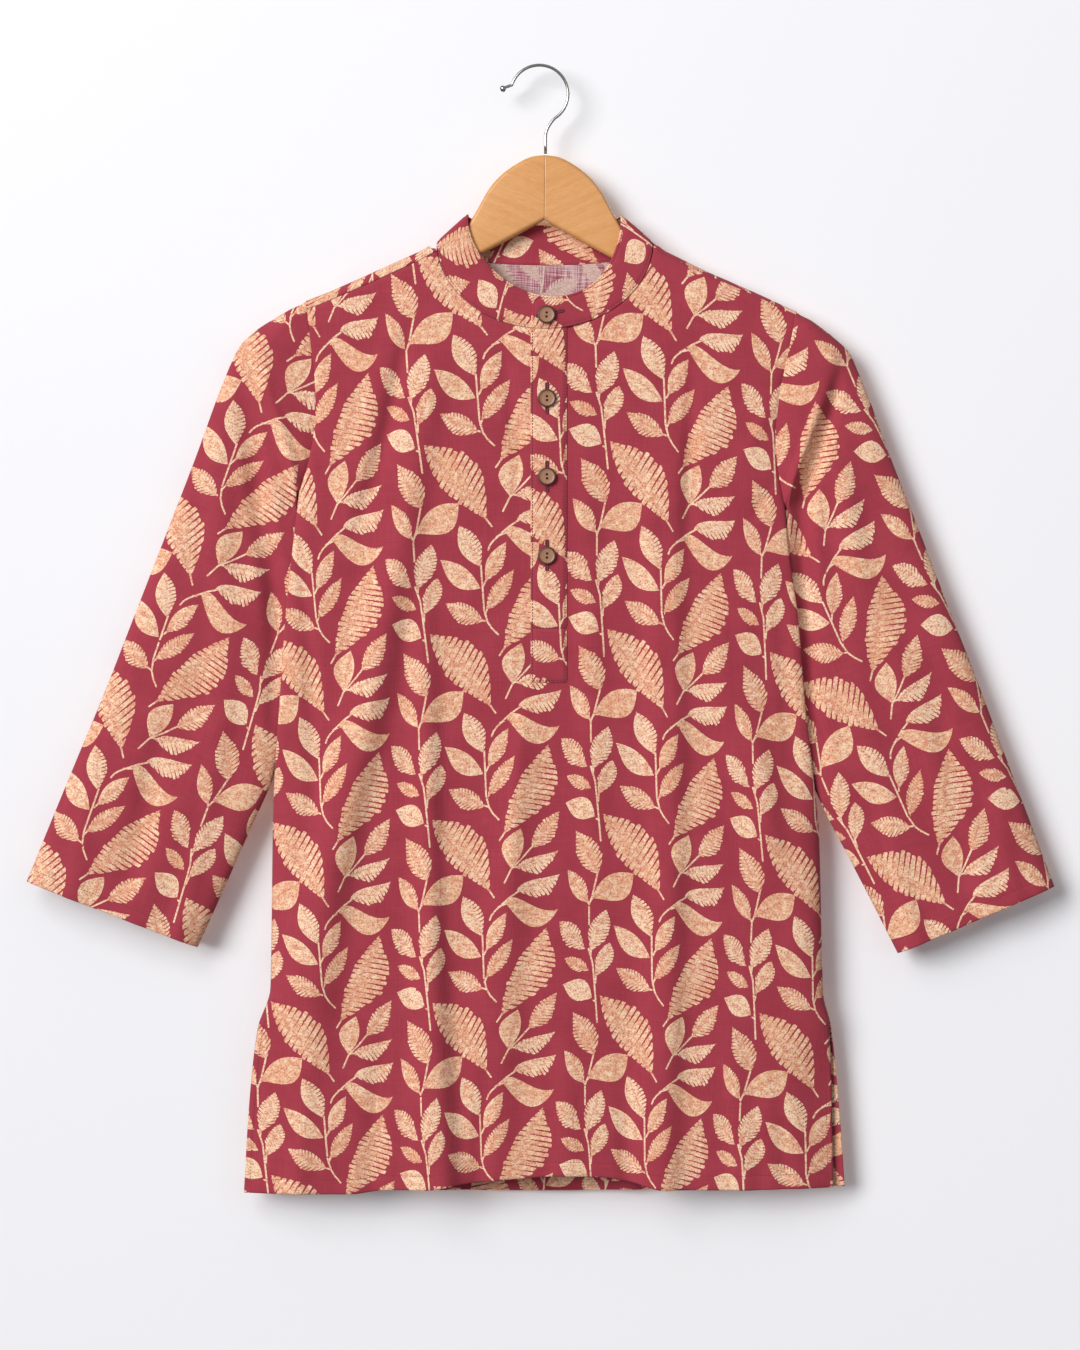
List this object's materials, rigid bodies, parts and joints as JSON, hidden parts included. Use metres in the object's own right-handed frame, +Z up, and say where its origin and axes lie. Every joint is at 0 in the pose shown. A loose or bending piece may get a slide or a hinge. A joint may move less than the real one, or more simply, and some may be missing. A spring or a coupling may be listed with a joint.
{
  "type": "kurta tunic on a wooden hanger",
  "caption": "Loose cotton kurta tunic with a band collar, buttoned half placket and three-quarter sleeves, hanging on a wooden hanger.",
  "frame": {"origin": "inside of the top of the hanger's hook, where a rail or a nail holds it", "axes": "+Z up, -Y the way the garment's front faces, +X to the wearer's left"},
  "size_m": [0.928, 0.0443, 1.0194],
  "materials": {
    "printed_cotton": "matte woven cotton with a leaf print",
    "button_wood": "satin brown wood",
    "hanger_wood": "clear satin varnish",
    "hook_wire": "bright plated wire"
  },
  "bodies": {
    "root": {"front": "printed_cotton", "back": "printed_cotton", "sleeve_right": "printed_cotton", "sleeve_left": "printed_cotton", "collar_band": "printed_cotton", "placket_top": "printed_cotton", "placket_under": "printed_cotton", "button_1": "button_wood", "button_2": "button_wood", "button_3": "button_wood", "button_4": "button_wood", "hanger_arm_right": "hanger_wood", "hanger_arm_left": "hanger_wood", "hanger_hook": "hook_wire"}
  },
  "joints": []
}
